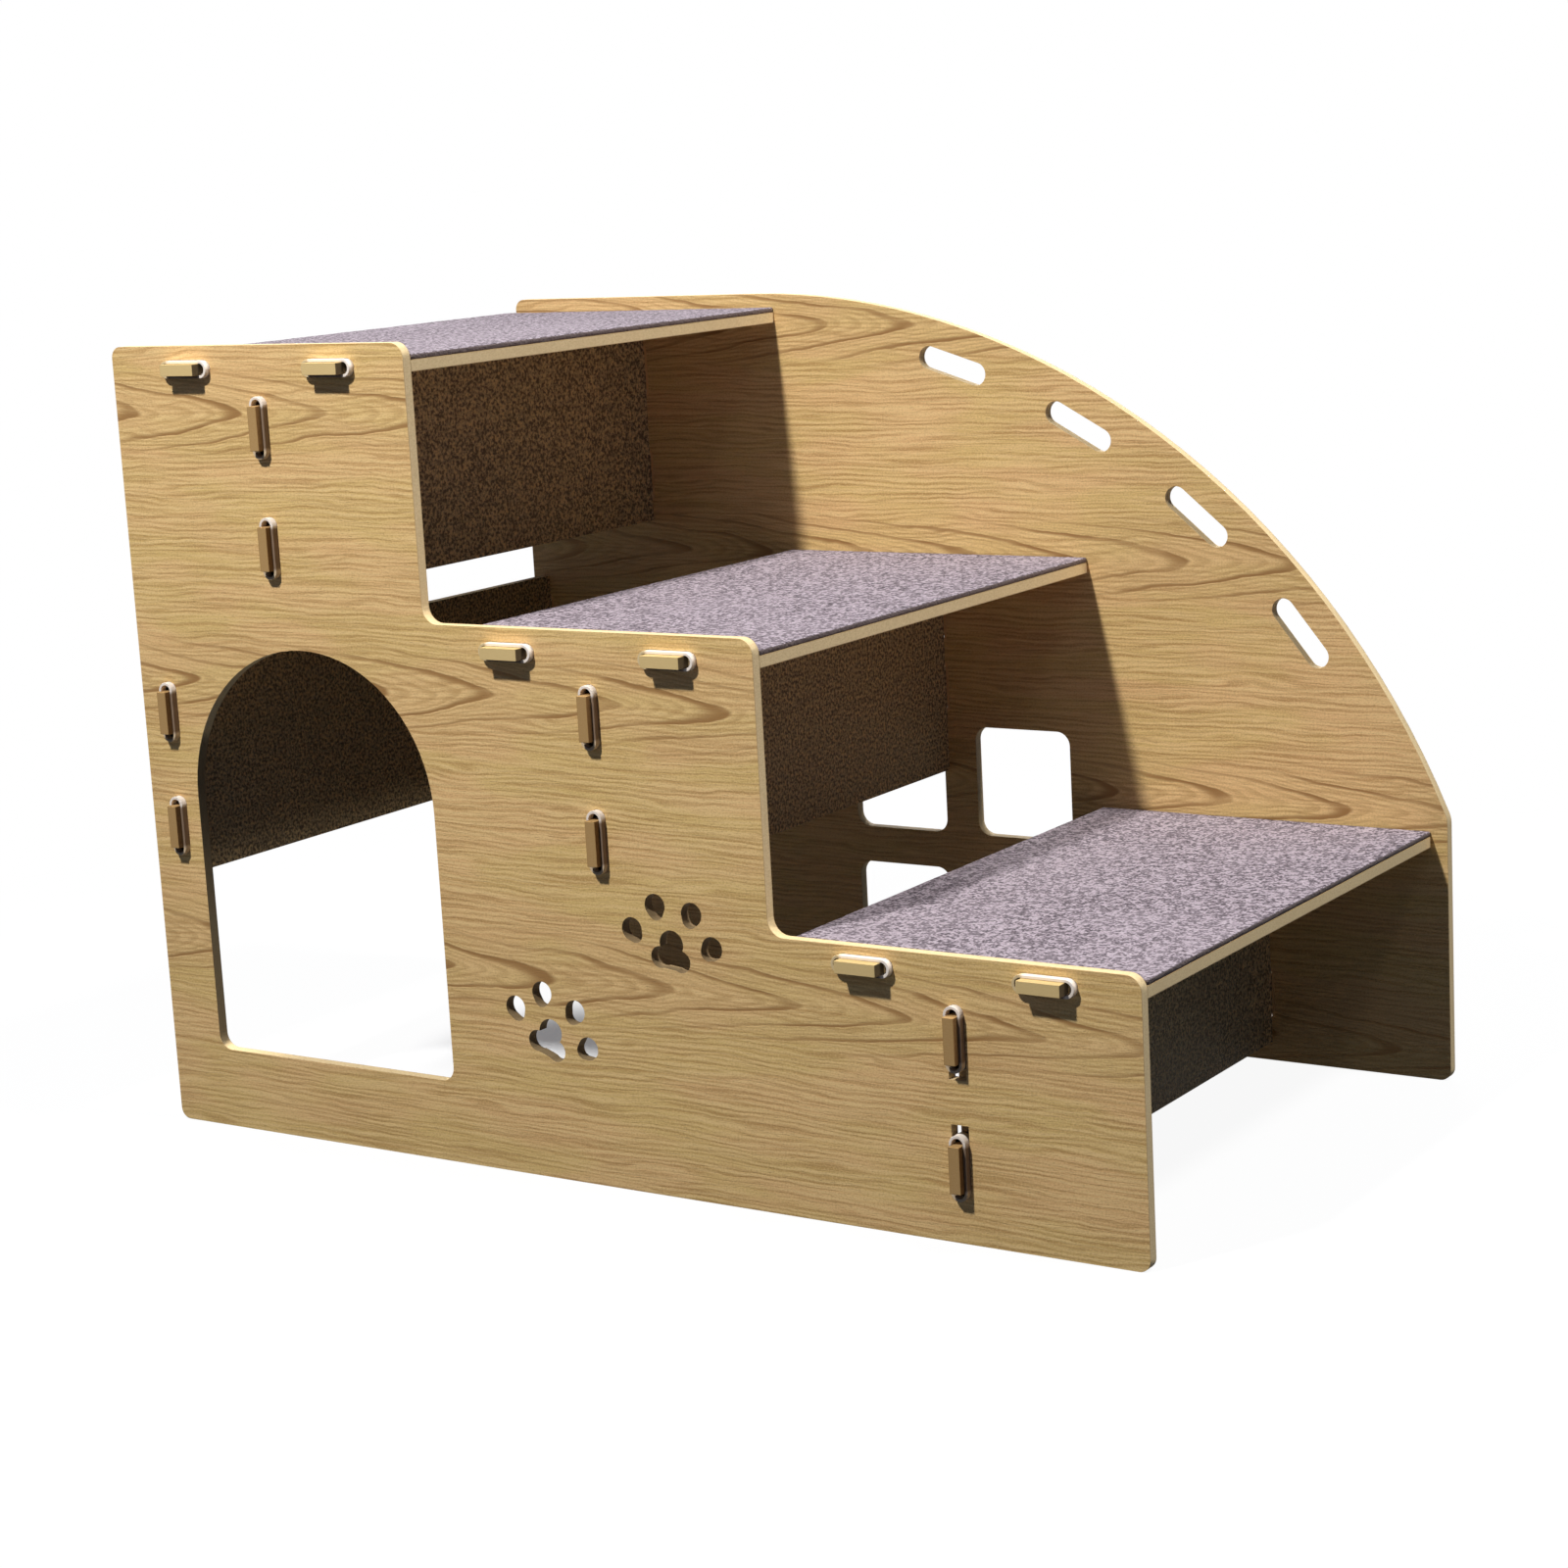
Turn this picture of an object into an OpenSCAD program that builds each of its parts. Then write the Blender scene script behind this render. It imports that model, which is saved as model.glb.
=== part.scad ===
// Pet stairs with a den under them, built flat-pack: two side panels carry three carpeted treads,
// a riser under each tread and a brace across the rear. Every board ends in tabs that pass through
// slots in the side panels, where stadium-shaped sleeves hold them.
// x runs from the rear, at the high step, to the front; y from the door side to the window side.
// The origin is the middle of the footprint, on the floor.

/* [Boards] */
// Thickness of every board
board_t = 6; // [4:0.5:10]
// Width over the outer faces of the two side panels
width = 340; // [260:5:460]
// Height of the window panel, the tallest board
height = 427; // [400:0.5:500]
// Depth of one step, from one step edge to the next
step_depth = 200; // [170:1:260]
// Radius of the convex corners at the three step edges
step_corner_r = 8; // [2:0.5:14]
// Radius of the concave corners between the steps
step_fillet_r = 9; // [2:0.5:14]
// Radius of the feet and of the upper rear corners
foot_r = 6; // [2:0.5:10]

/* [Treads] */
// Height of the lowest tread board's upper face
low_tread_top = 133.7; // [120:0.1:142]
// How far the two upper step edges stand above their tread boards
step_lip = 9; // [7:0.5:16]
// How far the lowest step edge stands above its tread board
low_step_lip = 5.8; // [5.6:0.1:16]
// Gap between the rear edge of a tread and the step edge above it
tread_rear_gap = 5; // [0:0.5:20]
// Distance from a tread's front and rear edges to the middles of its tabs
tread_tab_inset = 48.5; // [40:0.5:56]
// Thickness of the carpet on each tread
carpet_t = 3; // [2:0.5:5]
// Gap between the carpet and each side panel
carpet_side_gap = 0.5; // [0.3:0.1:2]

/* [Risers and brace] */
// Height of the gap under the lowest riser
floor_gap = 10.5; // [5:0.5:24]
// Distance from a riser's upper and lower edges to the middles of its tabs
riser_tab_inset = 27.3; // [24:0.1:31]
// Height of the rear brace's lower edge above the floor
brace_z = 140.3; // [120:0.1:150]
// Distance from the door panel's rear edge to the middle of the brace
brace_inset = 20; // [19.5:0.1:22]

/* [Tabs and sleeves] */
// Width of a tab
tab_w = 23; // [18:0.5:26]
// How far a tread's tab stands out of the side panel
tab_out = 8.5; // [6:0.5:14]
// How far the tab of a riser or of the brace stands out of the side panel
upright_tab_out = 7; // [4:0.5:14]
// Wall of a sleeve
sleeve_wall = 1.5; // [1:0.1:1.8]
// How far a sleeve stands out of the side panel
sleeve_out = 3.5; // [1:0.5:5]
// Clearance all round between a tab and its sleeve
tab_play = 0.1; // [0.05:0.05:0.2]
// Clearance all round between a sleeve and its slot
slot_play = 0.15; // [0.05:0.05:0.3]
// Clearance between a board's shoulder and what it stands against
shoulder_play = 0.1; // [0.05:0.05:0.5]
// How far the lowest riser's slots run on past their sleeves on the door side
slot_relief = 4; // [1:0.5:6]

/* [Arched door] */
// Distance from the top riser down to the top of the door
door_drop = 26.1; // [20:0.1:60]
// Height of the door's sill above the floor
door_sill = 43.5; // [30:0.5:50]
// Distance from the panel's rear edge to the door
door_rear = 34; // [31:0.5:40]
// Distance from the door forward to the line of the top step's edge
door_front = 2; // [0:0.5:30]
// Radius of the door's lower corners
door_corner_r = 8; // [2:0.5:16]

/* [Paw prints] */
// Width of a paw print over its toes
paw_w = 60; // [44:0.5:64]
// How far in front of the middle riser the upper print stands
high_paw_lead = 39.5; // [38:0.5:50]
// Height of the upper print above the floor
high_paw_z = 126; // [110:0.5:140]
// How far behind the middle riser the lower print stands
low_paw_lag = 40.5; // [38:0.5:50]
// Height of the lower print above the floor
low_paw_z = 73; // [50:0.5:90]
// Clockwise turn of the upper print
high_paw_turn = 7; // [-10:1:20]
// Clockwise turn of the lower print
low_paw_turn = 21; // [0:1:40]

/* [Window side] */
// How far the window panel stands above the door panel
window_side_lead = 1.7; // [0:0.1:20]
// Distance from the top step's edge back to the start of the arch
arch_setback = 14; // [0:1:40]
// How far above the lowest step edge the arch meets the front edge
arch_foot_lead = 3.9; // [2:0.1:30]
// How far the window panel stops short of the door panel at the rear
window_rear_setback = 11; // [0:0.5:11.5]
// How far the window panel reaches past the step edges at the front
window_front_overhang = 9.5; // [4:0.5:14]
// Radius of the corner between the arch and the front edge
arch_corner_r = 14; // [4:1:30]

/* [Window] */
// How far in front of the middle riser the window's upright bar stands
window_lead = 10.4; // [0:0.1:16]
// Distance from the middle tread down to the window
window_drop = 91; // [88:0.5:104]
// Width of a pane
pane_w = 61.3; // [40:0.1:66]
// Height of a pane
pane_h = 63.5; // [40:0.1:65]
// Width of the bars between the panes
bar_w = 21.2; // [12:0.1:24]
// Radius of the panes' corners
pane_r = 8; // [2:0.5:14]
// Wall left between the window and the middle riser's lower slot
window_wall = 6; // [3:0.5:8]

/* [Grip slots] */
// Number of grip slots along the arch
grip_count = 4; // [1:1:4]
// Length of a grip slot
grip_l = 44; // [26:0.5:52]
// Width of a grip slot
grip_w = 13; // [8:0.5:16]
// Distance from the arched edge to the middle of a grip slot
grip_inset = 22; // [14:0.5:26]
// Place of the first grip slot, as a share of the way round the arch
grip_first_share = 0.262; // [0.2:0.001:0.3]
// Distance from one grip slot to the next, as a share of the way round the arch
grip_step_share = 0.167; // [0.15:0.001:0.18]

/* [Hidden] */
$fn = 96;

// Facets of the long arch in a preview
arc_fn = 480;
// What a cut reaches past the material that it leaves
overrun = 1;
// The steps are numbered from the front: 0 is the lowest, 1 the middle one and 2 the top one
step_count = 3;
// The two sides: the door side looks towards -y
DOOR = "door side";
WINDOW = "window side";

door_side_l = step_count * step_depth;
overall_l = door_side_l + window_front_overhang;
inner_w = width - 2 * board_t;
body_w = inner_w - 2 * shoulder_play;

function step_edge(step) = (step_count - step) * step_depth;
tread_rise = (height - window_side_lead - step_lip - low_tread_top) / (step_count - 1);
function tread_top(step) = low_tread_top + step * tread_rise;
function lip(step) = step == 0 ? low_step_lip : step_lip;
function step_top(step) = tread_top(step) + lip(step);

tread_depth = step_depth - tread_rear_gap;
function tread_middle(step) = step_edge(step) - tread_depth / 2;
function tread_z(step) = tread_top(step) - board_t;

riser_h = low_tread_top - board_t - shoulder_play - floor_gap;
function riser_z(step) = tread_z(step) - shoulder_play - riser_h;

// A tab fills the straight middle of its sleeve's bore
bore_w = board_t + 2 * tab_play;
bore_l = tab_w + 2 * tab_play + bore_w;
sleeve_w = bore_w + 2 * sleeve_wall;
sleeve_l = bore_l + 2 * sleeve_wall;
slot_w = sleeve_w + 2 * slot_play;
slot_l = sleeve_l + 2 * slot_play;

door_w = step_depth - door_rear - door_front;
door_h = riser_z(2) - door_drop - door_sill;
door_arch_r = door_w / 2;
high_paw = [tread_middle(1) + high_paw_lead, high_paw_z];
low_paw = [tread_middle(1) - low_paw_lag, low_paw_z];

// The arched front is one arc, level where it starts, that ends on the front edge
arc_x = step_depth - arch_setback;
arc_span = overall_l - arc_x;
arc_drop = height - step_top(0) - arch_foot_lead;
arc_r = (arc_span ^ 2 + arc_drop ^ 2) / (2 * arc_drop);
arc_z = height - arc_r;
arc_angle = asin(arc_span / arc_r);
grip_r = arc_r - grip_inset;

window_top = tread_z(1) - window_drop;
window_x = tread_middle(1) + window_lead - bar_w / 2 - pane_w;
window_z = window_top - bar_w - 2 * pane_h;

// The paw print, in shares of its width
toe_place_shares = [[-0.4, 0.122], [-0.182, 0.368], [0.182, 0.368], [0.4, 0.122]];
toe_turns = [42, 14, -14, -42];
toe_wide_r_share = 0.1;
toe_narrow_r_share = 0.072;
toe_reach_share = 0.052;
pad_top_share = 0.075;
pad_top_r_share = 0.117;
pad_side_shares = [0.103, -0.055];
pad_side_r_share = 0.092;
pad_bottom_share = -0.137;

oak = [0.78, 0.64, 0.42];
oak_inside = [0.72, 0.58, 0.38];
carpet_grey = [0.6, 0.56, 0.6];
sleeve_white = [0.93, 0.91, 0.87];

// The sliver between a square corner at the origin and the quarter circle inside it
module corner(r) {
    difference() {
        translate([-overrun, -overrun]) square(r + overrun);
        translate([r, r]) circle(r);
    }
}

// A corner sliver at a point, turned so that it opens into one quarter of the plane
module corner_at(x, z, quarter, r) {
    translate([x, z]) rotate(90 * quarter) corner(r);
}

module rounded_rectangle(w, h, r) {
    difference() {
        square([w, h]);
        corner_at(0, 0, 0, r);
        corner_at(w, 0, 1, r);
        corner_at(w, h, 2, r);
        corner_at(0, h, 3, r);
    }
}

// A slot with round ends, its middle at the origin, along x
module stadium(l, w) {
    translate([(w - l) / 2, -w / 2]) square([l - w, w]);
    for (end = [-1, 1]) translate([end * (l - w) / 2, 0]) circle(w / 2);
}

// An egg outline with its wide end at the origin and its narrow end below
module egg(wide_r, narrow_r, reach) {
    slant = asin((wide_r - narrow_r) / reach);
    touch = [cos(slant), -sin(slant)];
    circle(wide_r);
    translate([0, -reach]) circle(narrow_r);
    polygon([
        [wide_r * touch.x, wide_r * touch.y],
        [narrow_r * touch.x, narrow_r * touch.y - reach],
        [-narrow_r * touch.x, narrow_r * touch.y - reach],
        [-wide_r * touch.x, wide_r * touch.y]
    ]);
}

module paw() {
    for (i = [0 : len(toe_turns) - 1])
        translate(paw_w * toe_place_shares[i])
            rotate(toe_turns[i])
                egg(paw_w * toe_wide_r_share, paw_w * toe_narrow_r_share, paw_w * toe_reach_share);
    translate([0, paw_w * pad_top_share]) circle(paw_w * pad_top_r_share);
    for (end = [-1, 1])
        translate(paw_w * [end * pad_side_shares.x, pad_side_shares.y]) circle(paw_w * pad_side_r_share);
    polygon(paw_w * [
        [0, pad_top_share],
        pad_side_shares,
        [pad_side_shares.x, pad_bottom_share],
        [-pad_side_shares.x, pad_bottom_share],
        [-pad_side_shares.x, pad_side_shares.y]
    ]);
}

// Where each board's tabs are along its end: a tread's from its rear edge, an upright's from its
// lower edge. On the window side the middle riser's lower tab stands higher, clear of the window
tread_tabs = [tread_tab_inset, tread_depth - tread_tab_inset];
upright_tabs = [riser_tab_inset, riser_h - riser_tab_inset];
raised_tab = window_top + window_wall + slot_l / 2 - riser_z(1);
function riser_tabs(side, step) =
    side == WINDOW && step == 1 ? [raised_tab, upright_tabs[1]] : upright_tabs;

// Where the tabs pass through a side panel, as [x, z] from the door panel's rear edge and the floor
function tread_tab_places(step) =
    [for (tab = tread_tabs) [step_edge(step) - tread_depth + tab, tread_z(step) + board_t / 2]];
function riser_tab_places(side, step) =
    [for (tab = riser_tabs(side, step)) [tread_middle(step), riser_z(step) + tab]];
brace_tab_places = [for (tab = upright_tabs) [brace_inset, brace_z + tab]];

module sleeve_slots(places, turn) {
    for (place = places) translate(place) rotate(turn) stadium(slot_l, slot_w);
}

module all_slots(side) {
    for (step = [0 : step_count - 1]) {
        sleeve_slots(tread_tab_places(step), 0);
        sleeve_slots(riser_tab_places(side, step), 90);
    }
    sleeve_slots(brace_tab_places, 90);
    // On the door side the lowest riser's slots run on towards each other, past their sleeves
    if (side == DOOR)
        for (end = [0, 1])
            translate(riser_tab_places(side, 0)[end])
                rotate(180 * end)
                    translate([-slot_w / 2, 0]) square([slot_w, slot_l / 2 + slot_relief]);
}

module door_outline() {
    translate([door_rear, door_sill]) {
        rounded_rectangle(door_w, door_h - door_arch_r + door_corner_r, door_corner_r);
        translate([0, door_corner_r]) square([door_w, door_h - door_arch_r - door_corner_r]);
        translate([door_arch_r, door_h - door_arch_r]) circle(door_arch_r);
    }
}

module door_side_outline() {
    difference() {
        union() {
            for (step = [0 : step_count - 1]) square([step_edge(step), step_top(step)]);
            for (step = [0 : step_count - 2])
                corner_at(step_edge(step + 1), step_top(step), 0, step_fillet_r);
        }
        for (step = [0 : step_count - 1]) corner_at(step_edge(step), step_top(step), 2, step_corner_r);
        corner_at(0, 0, 0, foot_r);
        corner_at(door_side_l, 0, 1, foot_r);
        corner_at(0, step_top(2), 3, foot_r);
    }
}

module window_side_outline() {
    // The corner's circle touches the front edge and the arch from inside
    corner_x = overall_l - arch_corner_r;
    corner_z = arc_z + sqrt((arc_r - arch_corner_r) ^ 2 - (corner_x - arc_x) ^ 2);
    outward = [corner_x - arc_x, corner_z - arc_z] / (arc_r - arch_corner_r);
    reach = 2 * arch_corner_r;
    difference() {
        union() {
            translate([window_rear_setback, 0]) square([arc_x - window_rear_setback, height]);
            intersection() {
                translate([arc_x, arc_z]) circle(arc_r, $fn = arc_fn);
                translate([arc_x - overrun, 0]) square([arc_span + overrun, height + overrun]);
            }
        }
        difference() {
            translate([corner_x, corner_z])
                polygon([[0, 0], [reach, 0], [reach, reach * outward.y / outward.x]]);
            translate([corner_x, corner_z]) circle(arch_corner_r);
        }
        corner_at(window_rear_setback, 0, 0, foot_r);
        corner_at(overall_l, 0, 1, foot_r);
        corner_at(window_rear_setback, height, 3, foot_r);
    }
}

module window_panes() {
    for (column = [0, 1], row = [0, 1])
        translate([window_x + column * (pane_w + bar_w), window_z + row * (pane_h + bar_w)])
            rounded_rectangle(pane_w, pane_h, pane_r);
}

module grip_slots() {
    for (i = [0 : grip_count - 1])
        translate([arc_x, arc_z])
            rotate(-arc_angle * (grip_first_share + i * grip_step_share))
                translate([0, grip_r]) stadium(grip_l, grip_w);
}

// Stands an outline up as a plate that reaches from a side panel's inner face to `out` past its
// outer face. The outline is drawn from the door panel's rear edge and the floor
module on_side(side, out) {
    t = board_t + out;
    y = side == DOOR ? board_t - width / 2 : width / 2 + out;
    translate([-overall_l / 2, y, 0]) rotate([90, 0, 0]) linear_extrude(t) children();
}

module door_side_panel() {
    color(oak)
        on_side(DOOR, 0)
            difference() {
                door_side_outline();
                door_outline();
                all_slots(DOOR);
                translate(high_paw) rotate(-high_paw_turn) paw();
                translate(low_paw) rotate(-low_paw_turn) paw();
            }
}

module window_side_panel() {
    color(oak)
        on_side(WINDOW, 0)
            difference() {
                window_side_outline();
                window_panes();
                grip_slots();
                all_slots(WINDOW);
            }
}

// A board drawn flat, from its rear or lower edge along x. Its ends meet the side panels, and its
// tabs stand `out` past them
module tabbed_board(l, door_tabs, window_tabs, out) {
    reach = width / 2 + out;
    translate([0, -body_w / 2]) square([l, body_w]);
    for (tab = door_tabs) translate([tab - tab_w / 2, -reach]) square([tab_w, reach]);
    for (tab = window_tabs) translate([tab - tab_w / 2, 0]) square([tab_w, reach]);
}

module tread(step) {
    color(oak)
        translate([step_edge(step) - tread_depth - overall_l / 2, 0, tread_z(step)])
            linear_extrude(board_t) tabbed_board(tread_depth, tread_tabs, tread_tabs, tab_out);
}

module upright(x, z, window_tabs) {
    color(oak_inside)
        translate([x + board_t / 2 - overall_l / 2, 0, z])
            rotate([0, -90, 0])
                linear_extrude(board_t)
                    tabbed_board(riser_h, upright_tabs, window_tabs, upright_tab_out);
}

module riser(step) upright(tread_middle(step), riser_z(step), riser_tabs(WINDOW, step));

module carpet(step) {
    w = inner_w - 2 * carpet_side_gap;
    color(carpet_grey)
        translate([step_edge(step) - tread_depth - overall_l / 2, -w / 2, tread_top(step)])
            cube([tread_depth, w, carpet_t]);
}

module sleeves(side, places, turn) {
    color(sleeve_white)
        on_side(side, sleeve_out)
            for (place = places)
                translate(place)
                    rotate(turn)
                        difference() {
                            stadium(sleeve_l, sleeve_w);
                            stadium(bore_l, bore_w);
                        }
}

module tread_sleeves(side, step) sleeves(side, tread_tab_places(step), 0);
module riser_sleeves(side, step) sleeves(side, riser_tab_places(side, step), 90);
module brace_sleeves(side) sleeves(side, brace_tab_places, 90);

module top_tread() tread(2);
module middle_tread() tread(1);
module bottom_tread() tread(0);
module top_carpet() carpet(2);
module middle_carpet() carpet(1);
module bottom_carpet() carpet(0);
module top_riser() riser(2);
module middle_riser() riser(1);
module bottom_riser() riser(0);
module rear_brace() upright(brace_inset, brace_z, upright_tabs);

door_side_panel();
window_side_panel();
top_tread();
middle_tread();
bottom_tread();
top_carpet();
middle_carpet();
bottom_carpet();
top_riser();
middle_riser();
bottom_riser();
rear_brace();
tread_sleeves(DOOR, 2);  // top_tread_door_sleeves
tread_sleeves(WINDOW, 2);  // top_tread_window_sleeves
tread_sleeves(DOOR, 1);  // middle_tread_door_sleeves
tread_sleeves(WINDOW, 1);  // middle_tread_window_sleeves
tread_sleeves(DOOR, 0);  // bottom_tread_door_sleeves
tread_sleeves(WINDOW, 0);  // bottom_tread_window_sleeves
riser_sleeves(DOOR, 2);  // top_riser_door_sleeves
riser_sleeves(WINDOW, 2);  // top_riser_window_sleeves
riser_sleeves(DOOR, 1);  // middle_riser_door_sleeves
riser_sleeves(WINDOW, 1);  // middle_riser_window_sleeves
riser_sleeves(DOOR, 0);  // bottom_riser_door_sleeves
riser_sleeves(WINDOW, 0);  // bottom_riser_window_sleeves
brace_sleeves(DOOR);  // rear_brace_door_sleeves
brace_sleeves(WINDOW);  // rear_brace_window_sleeves
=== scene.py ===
import math

import bpy
from mathutils import Matrix, Vector, noise


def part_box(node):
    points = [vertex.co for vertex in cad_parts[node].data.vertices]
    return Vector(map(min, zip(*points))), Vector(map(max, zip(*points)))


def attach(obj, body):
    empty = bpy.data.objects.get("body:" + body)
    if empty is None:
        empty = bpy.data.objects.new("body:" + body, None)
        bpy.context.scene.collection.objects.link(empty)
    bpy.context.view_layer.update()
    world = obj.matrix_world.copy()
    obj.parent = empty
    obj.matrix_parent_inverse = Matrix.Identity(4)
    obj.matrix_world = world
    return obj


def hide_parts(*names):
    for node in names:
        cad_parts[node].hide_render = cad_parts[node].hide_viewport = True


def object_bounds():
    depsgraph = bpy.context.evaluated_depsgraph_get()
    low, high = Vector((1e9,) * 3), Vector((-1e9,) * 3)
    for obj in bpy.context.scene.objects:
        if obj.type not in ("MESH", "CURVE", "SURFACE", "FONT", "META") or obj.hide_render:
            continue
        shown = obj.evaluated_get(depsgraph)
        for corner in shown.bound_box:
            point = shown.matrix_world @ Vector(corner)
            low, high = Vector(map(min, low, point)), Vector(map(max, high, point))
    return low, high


# Looks of the flat-pack pet stairs: oak-print boards with bare cut edges, short-pile carpet on the
# treads and pale moulded sleeves round the tabs. Lengths are in metres unless a name ends in _mm or
# _MM. Shaders work in millimetres, and the frame's origin is the middle of the footprint.

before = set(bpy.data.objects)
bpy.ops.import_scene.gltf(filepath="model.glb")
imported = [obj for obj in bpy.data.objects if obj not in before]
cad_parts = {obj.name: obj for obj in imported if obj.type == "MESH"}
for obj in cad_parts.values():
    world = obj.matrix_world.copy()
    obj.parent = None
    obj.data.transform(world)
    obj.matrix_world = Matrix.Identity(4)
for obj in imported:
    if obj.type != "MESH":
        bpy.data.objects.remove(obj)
CAD_BOX = [list(corner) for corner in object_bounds()]
MM = 0.001
X, Y, Z = 0, 1, 2

# The boards' thickness, how far the treads' tabs stand out of the panels, and a sleeve's length
BOARD_MM, TAB_OUT_MM, SLEEVE_MM = 6, 8.5, 32.4
PANEL_FACE_MM = CAD_BOX[1][Y] / MM - TAB_OUT_MM
# Where the shade on the door's rear jamb begins and is full, rearwards
JAMB_FADE_MM = (-262, -266)
# The middles of the two paw prints along the panel and up, and a reach that takes in each
PAW_PLACES_MM, PAW_REACH_MM = ((37.2, 126), (-42.8, 73)), 38
# How much the edges are softened on the panels and treads, and on the uprights and sleeves
EDGE_MM, FINE_EDGE_MM = 0.5, 0.25

PANELS = ["door_side_panel", "window_side_panel"]
STEPS = ["top", "middle", "bottom"]
TREADS = [f"{step}_tread" for step in STEPS]
UPRIGHTS = [f"{step}_riser" for step in STEPS] + ["rear_brace"]
SLEEVES = [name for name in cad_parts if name.endswith("_sleeves")]

# Colours, as they look on a screen, from 0 to 255
OAK_LIGHT = (238, 203, 142)
OAK_WARM = (229, 186, 129)
OAK_OLIVE = (219, 186, 118)
OAK_DARK = (176, 136, 82)
OAK_LINE = (156, 116, 68)
OAK_PORE = (146, 110, 66)
OAK_PAINTED_SHADE = (166, 149, 118)
CUT_PALE = (240, 214, 164)
CUT_TAN = (224, 196, 146)
CUT_SKIN = (176, 142, 96)
SPECK_DARK = (74, 58, 42)
TAB_PALE = (206, 178, 120)
TAB_TAN = (160, 122, 72)
TAB_SHADE = (44, 32, 20)
UPRIGHT_TAB_SHADE = (118, 88, 56)
JAMB_SHADE = (58, 46, 32)
PAW_WALL_SHADE = (92, 70, 44)
EDGE_WEAR_AND_HIGHLIGHT = (234, 208, 156)
PILE_LIGHT = (180, 167, 174)
PILE_MIDDLE = (131, 120, 126)
PILE_DARK = (78, 69, 75)
BACKING = (126, 111, 106)
SLEEVE_PALE = (240, 228, 214)
SLEEVE_DULL = (220, 205, 188)
SLEEVE_SLOT_SHADE = (64, 50, 34)
SLEEVE_TAN = (196, 168, 126)
SLEEVE_FRONT_SHADE = (112, 86, 60)
SLEEVE_UNDER_SHADE = (62, 46, 32)
FLOOR_GREY = (58, 64, 72)
SHADE_BLUE = (128, 170, 255)
WHITE = (255, 255, 255)
# How much painted shade, a darker and bluer plain colour with a speckle, covers the print of the
# boards inside the stairs
PAINTED_SHADE_SHARE = 0.75

# The oak print: in the middle of every band a row of arches whose tips point forward
BAND_MM = 142
TIP_SPACING_MM = 68
TIP_SLOPE = 6.5
TIP_ROUND_MM = 4.5
LEG_CURVE_MM = 12
FIGURE_FULL_MM = 10
FIGURE_HALF_MM = 29
# How far on the arches start from one band to the next, as a share of their spacing, and how many
# finer lines run between two of them
BAND_SHIFT_SHARE = 0.37
INNER_LINES, INNER_START_SHARE = 4, 0.4
RIPPLE_MM = 3.1
# The bends of the grain: how long each is along the board and across it, its reach and its shift
BENDS_MM = [((110, 34), 3.2, 0), ((34, 11), 0.9, 7.3), ((11, 4.5), 0.45, 2.1)]
# How long the marks of the grain are along the board and across it
LINE_MM, STREAK_MM, PORE_MM, SPECK_MM = (75, 1.5), (24, 0.8), (4.5, 0.42), (1.1, 0.8)
# The same for what bends the ripple and the arches, and for their faint patches and the tone's
RIPPLE_BEND_MM, ARCH_BEND_MM = (60, 9), (75, 16)
RIPPLE_PATCH_MM, ARCH_PATCH_MM, TONE_MM = (80, 12), (70, 14), (120, 26)
# Where the print of each board starts: the tip of an arch along the board, and the middle of a band
# across it. From one tread or upright to the next it moves on by a step.
DOOR_PANEL_PRINT_MM = (-24, 249)
WINDOW_PANEL_PRINT_MM, WINDOW_PANEL_BAND_MM = (-37, 408), 131
TREAD_PRINT_MM, TREAD_PRINT_STEP_MM = (40, 0), (-70, 30)
UPRIGHT_PRINT_MM, UPRIGHT_PRINT_STEP_MM = (70, 200), (-60, 25)


def linear(colour):
    """A screen colour from 0 to 255 as the linear RGBA that Blender's sockets take."""
    shares = [channel / 255 for channel in colour]
    return [s / 12.92 if s <= 0.04045 else ((s + 0.055) / 1.055) ** 2.4 for s in shares] + [1]


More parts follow.
